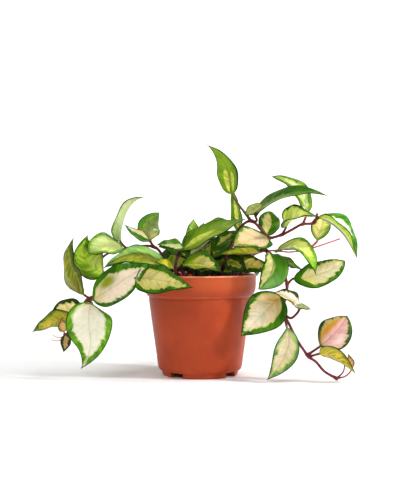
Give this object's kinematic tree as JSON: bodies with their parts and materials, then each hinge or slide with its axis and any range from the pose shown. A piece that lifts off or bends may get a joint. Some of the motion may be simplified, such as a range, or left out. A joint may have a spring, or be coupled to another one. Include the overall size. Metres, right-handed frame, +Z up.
{
  "type": "potted plant",
  "caption": "Variegated wax plant with folded, waxy cream and green leaves on arching and trailing stems, growing in a tapered plastic nursery pot.",
  "frame": {"origin": "middle of the pot's underside, on the level that the pot stands on", "axes": "+Z up along the pot's axis; -Y towards the front of the plant; +X to the viewer's right"},
  "size_m": [0.336, 0.1891, 0.2437],
  "materials": {
    "terracotta_plastic": "satin",
    "potting_soil": "rough",
    "pale_leaf": "waxy",
    "cream_leaf": "waxy",
    "green_leaf": "waxy",
    "dark_leaf": "waxy",
    "pink_leaf": "waxy"
  },
  "bodies": {
    "root": {"pot": "terracotta_plastic", "soil": "potting_soil", "vine_upper_left": "pale_leaf", "vine_trailing_left": "cream_leaf", "vine_low_left": "green_leaf", "vine_center_left": "green_leaf", "vine_center_low": "cream_leaf", "vine_center_back": "dark_leaf", "vine_center_right": "cream_leaf", "vine_upper_right": "pale_leaf", "vine_trailing_right": "pink_leaf", "vine_thin_right": "green_leaf", "vine_back_left": "green_leaf", "vine_back_right": "green_leaf"}
  },
  "joints": []
}
